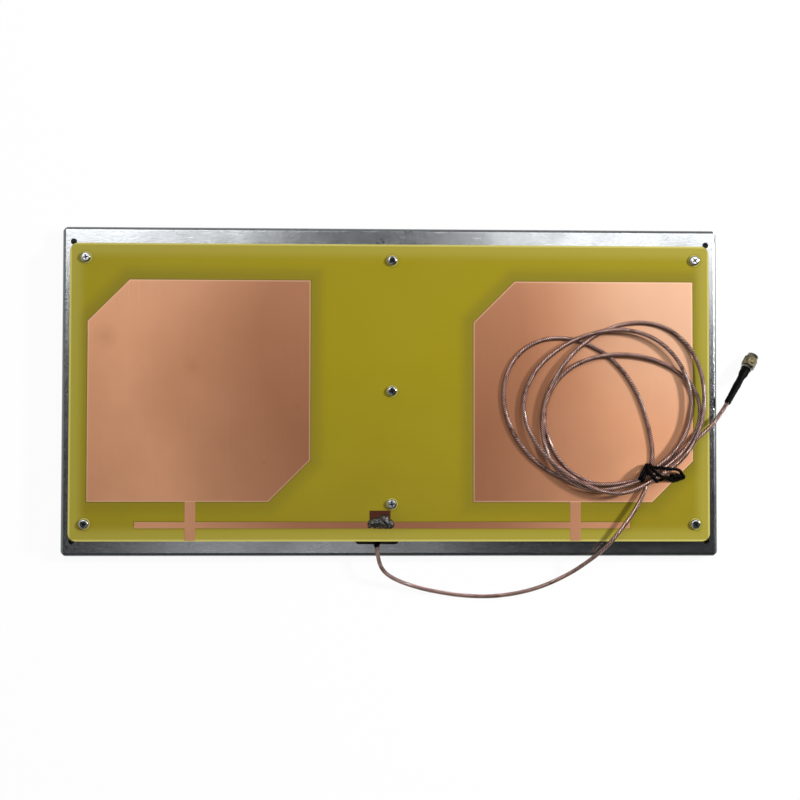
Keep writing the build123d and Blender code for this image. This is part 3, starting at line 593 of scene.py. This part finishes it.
def coil_points():
    """Plan points of all the turns, each with its layer."""
    side = Vector((-math.sin(math.radians(TIE_TURN)), math.cos(math.radians(TIE_TURN))))
    crossings = [Vector(TIE_PLACE) + strand[0] * side for strand in STRANDS]
    points = []
    for number, (*shape, layer) in enumerate(TURNS):
        for step in range(POINTS_PER_TURN):
            angle = 2 * math.pi * (step + 0.5) / POINTS_PER_TURN
            place = turn_point(shape, crossings[number], crossings[number + 1], angle)
            since, until = math.degrees(angle), 360 - math.degrees(angle)
            at_tie, reach = STRANDS[number if since < until else number + 1][1:]
            near = max(0.0, 1 - min(since, until) / reach)
            points.append((place.x, place.y, layer + near * (at_tie - layer)))
    return points


def ground_height(x, y):
    """Height of what lies under a point of the cord."""
    for (low, high), height in ((BOARD, COPPER_TOP), (SHEET, SHEET_TOP)):
        if low.x < x < high.x and low.y < y < high.y:
            return height
    return 0.0


# Laying the cord down: samples in each run between two points, after how many
# points it may touch itself, rounds, and how hard it is held up and pulled down
SPLINE_STEPS = 4
POINTS_APART = 3
SETTLE_ROUNDS = 60
HOLD = 400.0
WEIGHT = 0.07


def settle(points, fixed):
    """Heights of the route's points, laid on the board and on each other."""
    count = len(points)
    samples = []
    for i in range(1, count - 1):
        for t in (step / SPLINE_STEPS for step in range(SPLINE_STEPS)):
            row = np.zeros(count)
            row[i - 1 : i + 2] = (1 - t) ** 2 / 2, (1 + 2 * t - 2 * t * t) / 2, t * t / 2
            samples.append(row)
    mix = np.array(samples)
    x, y, start, layer = (mix @ [p[axis] for p in points] for axis in range(4))
    rows = list(mix)
    needs = [ground_height(*place) + CORD_DIAMETER / 2 for place in zip(x, y)]
    for a in range(len(mix)):
        for b in range(a + POINTS_APART * SPLINE_STEPS, len(mix)):
            gap = (x[a] - x[b]) ** 2 + (y[a] - y[b]) ** 2
            if gap < CORD_DIAMETER**2:
                sign = 1 if layer[a] > layer[b] else -1
                rows.append(sign * (mix[a] - mix[b]))
                needs.append(math.sqrt(CORD_DIAMETER**2 - gap))
    rows, needs = np.array(rows), np.array(needs)
    bend = np.zeros((count - 2, count))
    for i in range(count - 2):
        bend[i, i : i + 3] = 1, -2, 1
    z = np.array([p[2] for p in points])
    tied = np.array(fixed)
    free = ~tied
    for _ in range(SETTLE_ROUNDS):
        pressed = rows @ z < needs
        short, wanted = rows[pressed], needs[pressed]
        matrix = bend.T @ bend + HOLD * short.T @ short
        right = HOLD * short.T @ wanted - WEIGHT - matrix[:, tied] @ z[tied]
        rest = np.linalg.solve(matrix[np.ix_(free, free)], right[free])
        z[free] = (z[free] + rest) / 2
    return z


# Points at the end of the lead that are laid down with the turns, and at the end
# of the tail that keep their height
LEAD_LAID, TAIL_KEPT = 3, 4


def cord_route():
    """Points of the whole cord, in metres, from the exit to the plug's sleeve."""
    sleeve_end = PLUG_TIP - SLEEVE_REAR * PLUG_AXIS
    tail = TAIL_POINTS + (tuple(sleeve_end),)
    points = [(x, y, z, 0.0) for x, y, z in LEAD_POINTS]
    laid = COPPER_TOP + CORD_DIAMETER / 2
    points += [(x, y, laid + layer, layer) for x, y, layer in coil_points()]
    points += [(x, y, z, STRANDS[-1][1]) for x, y, z in tail]
    lead_kept, tail_kept = len(LEAD_POINTS) - LEAD_LAID, len(points) - TAIL_KEPT
    fixed = [i < lead_kept or i >= tail_kept for i in range(len(points))]
    heights = settle(points, fixed)
    return [(p[0] * MM, p[1] * MM, z * MM) for p, z in zip(points, heights)]


# Points of a cord's line in each run of its route, and sides of the cord and of
# the tie's wire
STEPS_PER_RUN = 10
CORD_ROUND = 14
WIRE_ROUND = 12


def polyline(route):
    """Points read along a smooth line through the route."""
    line = bpy.data.curves.new("cord_line", "CURVE")
    line.dimensions = "3D"
    spline = line.splines.new("NURBS")
    spline.points.add(len(route) - 1)
    for point, place in zip(spline.points, route):
        point.co = (*place, 1.0)
    spline.order_u = 3
    spline.use_endpoint_u = True
    spline.resolution_u = STEPS_PER_RUN
    holder = bpy.data.objects.new("cord_line", line)
    bpy.context.scene.collection.objects.link(holder)
    bpy.context.view_layer.update()
    read = bpy.data.meshes.new_from_object(holder)
    path = [v.co.copy() for v in read.vertices]
    bpy.data.objects.remove(holder)
    bpy.data.meshes.remove(read)
    return path


def tube(name, path, radius, around=CORD_ROUND):
    """Mesh tube along a path, its UV round and along the cord in millimetres."""
    mesh = bpy.data.meshes.new(name)
    form = bmesh.new()
    layer = form.loops.layers.uv.new("UVMap")
    across = None
    rings, along = [], [0.0]
    for i, here in enumerate(path):
        forward = (path[min(i + 1, len(path) - 1)] - path[max(i - 1, 0)]).normalized()
        if across is None:
            across = forward.orthogonal().normalized()
        across = (across - across.dot(forward) * forward).normalized()
        other = forward.cross(across)
        ring = []
        for k in range(around):
            a = 2 * math.pi * k / around
            way = math.cos(a) * across + math.sin(a) * other
            ring.append(form.verts.new(here + radius * way))
        rings.append(ring)
        if i:
            along.append(along[-1] + (here - path[i - 1]).length / MM)
    for i in range(len(rings) - 1):
        for k in range(around):
            nxt = (k + 1) % around
            face = form.faces.new((rings[i][k], rings[i][nxt], rings[i + 1][nxt], rings[i + 1][k]))
            face.smooth = True
            places = ((k, i), (k + 1, i), (k + 1, i + 1), (k, i + 1))
            for loop, (u, v) in zip(face.loops, places):
                loop[layer].uv = (u / around, along[v])
    form.faces.new(reversed(rings[0]))
    form.faces.new(rings[-1])
    form.to_mesh(mesh)
    form.free()
    made = bpy.data.objects.new(name, mesh)
    bpy.context.scene.collection.objects.link(made)
    return made


def wire(name, path, radius, skin):
    """A tube along a path that rides on the antenna."""
    made = tube(name, path, radius * MM, WIRE_ROUND)
    made.data.materials.append(skin)
    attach(made, ANTENNA)
    return made


TIE_WIRE_RADIUS = 1.0
# Twist tie, in order along its wire: along the strands, to their side, and up
# from the floor. Two turns, a third across them, the loop, and the twisted end.
TIE_POINTS = (
    (-6.9, -1.1, 25.6),
    (-6.5, -0.6, 29.5),
    (-4.8, 0.8, 29.3),
    (-1.6, 2.5, 28.3),
    (1.8, 3.9, 27.0),
    (2.9, 5.2, 23.2),
    (0.6, 4.0, 20.5),
    (-4.2, 0.8, 20.4),
    (-7.6, -0.6, 22.6),
    (-7.5, 0.3, 27.2),
    (-6.2, 1.7, 28.6),
    (-2.8, 3.7, 27.6),
    (0.8, 5.0, 25.6),
    (2.0, 5.8, 22.4),
    (1.6, 3.0, 20.4),
    (1.2, -3.8, 20.5),
    (1.4, -6.3, 22.4),
    (1.4, -6.2, 27.6),
    (0.6, -4.5, 31.0),
    (-0.3, -1.2, 31.0),
    (-0.5, 1.6, 29.6),
    (0.7, 4.0, 27.6),
    (2.2, 3.4, 28.4),
    (4.2, 2.0, 29.8),
    (7.6, -0.4, 31.2),
    (11.5, -3.4, 31.2),
    (15.2, -6.0, 27.6),
    (17.2, -8.6, 23.4),
    (17.3, -11.2, 21.2),
    (17.8, -13.6, 20.9),
    (15.2, -12.9, 20.6),
    (12.2, -12.4, 20.5),
    (9.8, -10.4, 21.0),
    (7.6, -7.8, 23.4),
    (5.6, -5.6, 28.6),
    (3.9, -3.4, 31.1),
    (2.8, -0.4, 31.2),
    (2.3, 2.6, 29.2),
    (3.2, 4.6, 25.0),
    (3.5, 4.2, 20.9),
    (3.5, -2.0, 20.4),
    (3.4, -6.4, 21.4),
    (4.2, -6.6, 26.4),
    (5.8, -5.6, 29.2),
    (7.2, -6.0, 27.0),
    (8.8, -8.2, 23.2),
    (10.2, -9.6, 21.8),
    (11.9, -7.4, 22.6),
    (12.7, -11.2, 22.6),
    (14.4, -9.0, 22.4),
    (15.6, -12.2, 22.0),
    (16.3, -10.6, 21.4),
)


def twist_tie(skin):
    """Plastic-coated wire wound round the strands and twisted into a loose loop."""
    turn = math.radians(TIE_TURN)
    along = Vector((math.cos(turn), math.sin(turn), 0))
    side = Vector((-math.sin(turn), math.cos(turn), 0))
    place = Vector((*TIE_PLACE, 0))
    route = [(place + a * along + s * side + Vector((0, 0, z))) * MM for a, s, z in TIE_POINTS]
    made = wire("twist_tie", polyline(route), TIE_WIRE_RADIUS, skin)
    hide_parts("cable_tie")


def lay_along(piece, end, axis):
    """Turn a piece made about Z so that Z is the axis and zero is at end."""
    level = Vector((axis.y, -axis.x, 0)).normalized()
    turned = Matrix((level, axis.cross(level), axis)).transposed().to_4x4()
    piece.matrix_world = Matrix.Translation(end * MM) @ turned
    bpy.ops.object.select_all(action="DESELECT")
    piece.select_set(True)
    bpy.context.view_layer.objects.active = piece
    bpy.ops.object.transform_apply(location=True, rotation=True, scale=True)


def clouded(piece, size, depth):
    """Push a piece's skin in and out by a cloudy pattern, both in millimetres."""
    pattern = bpy.data.textures.new(piece.name + "_skin", "CLOUDS")
    pattern.noise_scale = size * MM
    push = piece.modifiers.new("skin", "DISPLACE")
    push.texture = pattern
    push.strength = depth * MM
    bpy.ops.object.modifier_apply(modifier=push.name)


# Sides of a sleeve, the length of a step along it, and the widest bend that is
# still shaded smooth
SLEEVE_ROUND = 36
SLEEVE_STEP = 0.7
SLEEVE_SMOOTH = math.radians(50)


def shrunk_sleeve(name, profile, wrinkle, skin):
    """Shrink tubing: a disc drawn out along the lead, each step taking the width of
    the profile there, then wrinkled as it shrank. The profile is in millimetres."""
    depths, widths = zip(*profile)
    count = round((depths[-1] - depths[0]) / SLEEVE_STEP)
    steps = np.linspace(depths[0], depths[-1], count + 1)
    radii = np.interp(steps, depths, widths)
    bpy.ops.object.select_all(action="DESELECT")
    bpy.ops.mesh.primitive_circle_add(
        vertices=SLEEVE_ROUND, radius=radii[0] * MM, fill_type="TRIFAN", location=(0, 0, 0)
    )
    piece = bpy.context.object
    piece.name = name
    bpy.ops.object.mode_set(mode="EDIT")
    bpy.ops.mesh.select_mode(type="FACE")
    bpy.ops.mesh.select_all(action="SELECT")
    bpy.ops.transform.translate(value=(0, 0, -steps[0] * MM))
    for before, after, old, new in zip(steps, steps[1:], radii, radii[1:]):
        down = {"value": (0, 0, (before - after) * MM)}
        bpy.ops.mesh.extrude_region_move(TRANSFORM_OT_translate=down)
        middle = (0, 0, -after * MM)
        bpy.ops.transform.resize(value=(new / old, new / old, 1), center_override=middle)
    bpy.ops.mesh.select_all(action="SELECT")
    bpy.ops.mesh.normals_make_consistent(inside=False)
    bpy.ops.object.mode_set(mode="OBJECT")
    clouded(piece, *wrinkle)
    bpy.ops.object.shade_smooth_by_angle(angle=SLEEVE_SMOOTH)
    piece.data.materials.append(skin)
    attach(piece, ANTENNA)
    return piece


# Plug's sleeve: distance behind the nut's mouth and radius
PLUG_SLEEVE = (
    (11.02, 2.7),
    (11.7, 2.9),
    (15.4, 2.86),
    (16.4, 2.5),
    (17.8, 2.18),
    (20.8, 2.1),
    (24.0, 2.32),
    (27.5, 2.12),
    (31.0, 2.04),
    (38.0, 1.98),
    (SLEEVE_REAR, 1.75),
)
# Exit sleeve: distance behind the lead's first point and radius
EXIT_SLEEVE = (
    (0.0, 1.55),
    (0.8, 1.75),
    (2.2, 1.95),
    (3.4, 2.45),
    (5.4, 2.5),
    (7.2, 2.45),
    (7.5, 2.2),
)
# Size and depth of the sleeves' wrinkles
PLUG_WRINKLE = (1.6, 0.35)
EXIT_WRINKLE = (1.8, 0.9)

# Solder on the pad, as in the part's source: x from the pad's middle, y from
# the strip's, radius of each lump, and how deep its middle lies
PAD_X = -7.1
SOLDER_LUMPS = (
    (-5.0, 1.2, 2.6, 1.1),
    (-2.2, 2.0, 2.9, 0.9),
    (0.8, 1.6, 3.1, 1.1),
    (2.7, 3.6, 3.2, 0.7),
    (5.1, 1.4, 3.0, 1.0),
    (6.9, 0.3, 1.9, 0.4),
)
# Smaller lumps along the strip's front edge, where the joint ends straight
SOLDER_SKIRT = (
    (-6.0, -0.6, 1.5, 0.8),
    (-3.0, -0.5, 1.8, 0.9),
    (0.2, -0.5, 1.9, 0.9),
    (3.4, -0.5, 2.0, 1.0),
    (6.3, -0.7, 1.6, 0.8),
)
SOLDER_FRONT = 2.1
# How the lumps run together: the grid they are melted on, rounds of easing, size
# and depth of the wrinkles, and the widest bend that is still shaded smooth
SOLDER_GRID = 0.22
SOLDER_EASING = 6
SOLDER_WRINKLE = (1.5, 0.9)
SOLDER_SMOOTH = math.radians(60)


def feed_joint(skin):
    """Lumps of solder run together, wrinkled, and flat where they wet the copper."""
    bpy.ops.object.select_all(action="DESELECT")
    balls = []
    for x, y, radius, sink in SOLDER_LUMPS + SOLDER_SKIRT:
        place = Vector((PAD_X + x, STRIP_Y + y, COPPER_TOP - sink)) * MM
        bpy.ops.mesh.primitive_ico_sphere_add(subdivisions=3, radius=radius * MM, location=place)
        balls.append(bpy.context.object)
    for ball in balls:
        ball.select_set(True)
    bpy.context.view_layer.objects.active = balls[0]
    bpy.ops.object.join()
    bpy.ops.object.transform_apply(location=True, rotation=True, scale=True)
    piece = bpy.context.object
    piece.name = "feed_joint"
    melt = piece.modifiers.new("melt", "REMESH")
    melt.mode = "VOXEL"
    melt.voxel_size = SOLDER_GRID * MM
    bpy.ops.object.modifier_apply(modifier=melt.name)
    ease = piece.modifiers.new("ease", "SMOOTH")
    ease.iterations = SOLDER_EASING
    bpy.ops.object.modifier_apply(modifier=ease.name)
    clouded(piece, *SOLDER_WRINKLE)
    bpy.ops.object.mode_set(mode="EDIT")
    foot, front = (0, 0, COPPER_TOP * MM), (0, (STRIP_Y - SOLDER_FRONT) * MM, 0)
    for end, way in ((foot, (0, 0, 1)), (front, (0, 1, 0))):
        bpy.ops.mesh.select_all(action="SELECT")
        bpy.ops.mesh.bisect(plane_co=end, plane_no=way, use_fill=True, clear_inner=True)
    bpy.ops.object.mode_set(mode="OBJECT")
    bpy.ops.object.shade_smooth_by_angle(angle=SOLDER_SMOOTH)
    piece.data.materials.append(skin)
    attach(piece, ANTENNA)
    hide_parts("feed_solder")


# Thread in the coupling nut: pitch, the radius of its ridge's middle, the size of
# the ridge, how deep it starts, how many turns it has and the steps in each
THREAD_PITCH = 25.4 / 36
THREAD_RADIUS = 2.86
THREAD_RIDGE = 0.17
THREAD_START = 0.45
THREAD_TURNS = 5
THREAD_STEPS = 36


def nut_thread(skin):
    """Ridge of the fine thread in the nut's mouth, spun from a small triangle."""
    bpy.ops.object.select_all(action="DESELECT")
    bpy.ops.mesh.primitive_circle_add(
        vertices=3,
        radius=THREAD_RIDGE * MM,
        location=(THREAD_RADIUS * MM, 0, -THREAD_START * MM),
        rotation=(math.pi / 2, -math.pi / 2, 0),
    )
    piece = bpy.context.object
    piece.name = "nut_thread"
    bpy.ops.object.transform_apply(location=True, rotation=True, scale=True)
    spin = piece.modifiers.new("spin", "SCREW")
    spin.screw_offset = -THREAD_PITCH * MM
    spin.iterations = THREAD_TURNS
    spin.steps = spin.render_steps = THREAD_STEPS
    bpy.ops.object.modifier_apply(modifier=spin.name)
    bpy.ops.object.mode_set(mode="EDIT")
    bpy.ops.mesh.select_all(action="SELECT")
    bpy.ops.mesh.fill_holes(sides=3)
    bpy.ops.mesh.normals_make_consistent(inside=False)
    bpy.ops.object.mode_set(mode="OBJECT")
    lay_along(piece, PLUG_TIP, PLUG_AXIS)
    piece.data.materials.append(skin)
    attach(piece, "coupling_nut")


def camera():
    """The photograph's camera, looking down at the antenna."""
    lens = bpy.data.cameras.new("photo_camera")
    lens.lens = CAMERA_LENS
    lens.sensor_width = CAMERA_SENSOR
    lens.sensor_fit = "HORIZONTAL"
    made = bpy.data.objects.new("photo_camera", lens)
    made.location = CAMERA_PLACE
    made.rotation_euler = CAMERA_TURN
    bpy.context.scene.collection.objects.link(made)
    bpy.context.scene.camera = made


# Lamps: direction and distance from the object, side and power, in metres and watts
LAMPS = (
    ("side_lamp", (0.80, 0.22, 0.62), 1.7, 0.18, 27.0),
    ("rear_left_panel", (-0.36, 0.44, 1.0), 1.6, 0.72, 5.5),
    ("rear_right_panel", (0.37, 0.39, 1.0), 1.6, 0.72, 4.6),
    ("front_panel", (-0.08, -0.22, 1.0), 1.6, 0.5, 0.5),
)
# Brightness of the ceiling, and of the walls from the front right to the rear left;
# and how high the ceiling is all there is and the walls begin to give way to it
CEILING, WALLS = 0.05, (0.04, 0.7)
CEILING_AT, WALLS_AT = 0.92, 0.45


def lights():
    """A small lamp on the right, two panels high behind, a faint one in front, and a
    room with pale walls at the rear left that is dark overhead, where the
    photographer stands."""
    for name, way, far, size, power in LAMPS:
        lamp = bpy.data.lights.new(name, "AREA")
        lamp.shape = "SQUARE"
        lamp.size = size
        lamp.energy = power
        made = bpy.data.objects.new(name, lamp)
        away = Vector(way).normalized()
        level = Vector((0, 1, 0)).cross(away).normalized()
        made.matrix_world = Matrix((level, away.cross(level), away)).transposed().to_4x4()
        made.location = away * far
        bpy.context.scene.collection.objects.link(made)
    world = bpy.data.worlds.new("studio_room")
    world.use_nodes = True
    tree = world.node_tree
    tree.nodes.clear()
    way = add(tree, "SeparateXYZ", {0: add(tree, "TexCoord").outputs["Generated"]}).outputs
    turned = add(tree, "Math", {0: way[1], 1: way[0]}, operation="SUBTRACT")
    sockets = {"Value": turned, "From Min": -1.0, "To Min": WALLS[0], "To Max": WALLS[1]}
    walls = add(tree, "MapRange", sockets)
    sockets = {"Value": way[2], "From Min": WALLS_AT, "From Max": CEILING_AT}
    sockets.update({"To Min": walls, "To Max": CEILING})
    room = add(tree, "MapRange", sockets)
    seen = add(tree, "LightPath").outputs["Is Camera Ray"]
    room = add(tree, "Math", {0: room, 1: seen}, operation="MAXIMUM")
    glow = add(tree, "Background", {"Color": "#ffffff", "Strength": room})
    add(tree, "OutputWorld", {"Surface": glow})
    bpy.context.scene.world = world


# Side of the floor and how far it lies below the antenna, in metres, and the share
# of plain white that the camera and reflections see
FLOOR_SIDE = 6.0
FLOOR_DROP = 0.0002
FLOOR_GLOW = 0.94


def studio_floor():
    """White floor that keeps soft shadows and shows white in reflections, but is
    left dark below the sheet, as the holes and the slot show it."""
    bpy.ops.object.select_all(action="DESELECT")
    bpy.ops.mesh.primitive_plane_add(size=FLOOR_SIDE, location=(0, 0, -FLOOR_DROP))
    floor = bpy.context.object
    floor.name = "studio_floor"
    bpy.ops.object.transform_apply(location=True, rotation=True, scale=True)
    made, tree, place = material("white_studio_floor")
    path = add(tree, "LightPath").outputs
    seen = path["Is Camera Ray"]
    for ray in ("Is Glossy Ray", "Is Transmission Ray"):
        seen = add(tree, "Math", {0: seen, 1: path[ray]}, operation="MAXIMUM")
    off = add(tree, "VectorMath", {0: place}, operation="ABSOLUTE")
    off = add(tree, "VectorMath", {0: off, 1: SHEET[1]}, operation="SUBTRACT")
    off = add(tree, "SeparateXYZ", {0: off}).outputs
    off = add(tree, "Math", {0: off[0], 1: off[1]}, operation="MAXIMUM")
    open_floor = add(tree, "Math", {0: off, 1: 0.0}, operation="GREATER_THAN")
    share = add(tree, "Math", {0: seen, 1: FLOOR_GLOW}, operation="MULTIPLY")
    share = add(tree, "Math", {0: share, 1: open_floor}, operation="MULTIPLY")
    below = add(tree, "BsdfPrincipled", {"Base Color": "#f2f2f2", "Roughness": 0.9})
    glow = add(tree, "Emission", {"Color": "#ffffff", "Strength": 1.0})
    mixed = add(tree, "MixShader", {0: share, 1: below, 2: glow})
    add(tree, "OutputMaterial", {"Surface": mixed})
    floor.data.materials.append(made)


bpy.context.scene.view_settings.view_transform = "Standard"
bpy.ops.object.select_all(action="DESELECT")
camera()

path = polyline(cord_route())
cord = tube("coaxial_cord", path, CORD_DIAMETER / 2 * MM)
cord.data.materials.append(jacketed_braid())
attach(cord, ANTENNA)
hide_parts("cable_lead", "cable_coil", "cable_tail")

# Black polyolefin shrink tubing and the tie's vinyl skin: satin, a little dusty
tubing = moulded("black_shrink_tubing", "#050505", 0.45, 0.8)
twist_tie(moulded("black_vinyl_on_wire", "#050505", 0.55, 0.8))
plug_sleeve = shrunk_sleeve("plug_sleeve", PLUG_SLEEVE, PLUG_WRINKLE, tubing)
lay_along(plug_sleeve, PLUG_TIP, PLUG_AXIS)
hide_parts("connector_sleeve")
exit_end = Vector(LEAD_POINTS[0])
exit_axis = (Vector(LEAD_POINTS[1]) - exit_end).normalized()
exit_sleeve = shrunk_sleeve("lead_exit_sleeve", EXIT_SLEEVE, EXIT_WRINKLE, tubing)
lay_along(exit_sleeve, exit_end, exit_axis)
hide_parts("exit_sleeve")
solder = dull_solder()
feed_joint(solder)
nickel = nickel_on_brass()
nut_thread(nickel)

lights()
studio_floor()
dress(galvanised_sheet(), "reflector_tray")
dress(glass_epoxy(), "antenna_board")
dress(etched_copper(), "patch_copper")
dress(solder, "ground_solder")
fasteners = [f"{kind}_{n}" for kind in ("board_screw", "rear_nut") for n in SCREW_NUMBERS]
dress(zinc_plated_screw(), *fasteners)
# Turned black nylon: matt, with a fine machined grain
spacers = [f"spacer_{n}" for n in SCREW_NUMBERS]
dress(moulded("black_nylon", "#191919", 0.5, 0.5), *spacers)
dress(nickel, "coupling_nut", "connector_body", "crimp_ferrule", "retaining_ring")
# Sintered white fluoropolymer: waxy and slightly translucent to the eye
dress(moulded("white_fluoropolymer", "#e6e4de", 0.45, 0.5), "insulator", "cable_dielectric")
# Moulded red silicone: matt and soft
dress(moulded("red_silicone_rubber", "#8f2a20", 0.6, 0.5), "gasket")
# Gold over turned brass: bright yellow
dress(plated("gold_plated_brass", "#e2bd6a", "#c39a4c", 0.2, 0.4), "contact_pin")
# Silver-plated copper wire: bright, a little tarnished
silvered = plated("silvered_copper_wire", "#dcd9d0", "#a79c8c", 0.26, 0.4)
dress(silvered, "centre_conductor", "cable_braid")
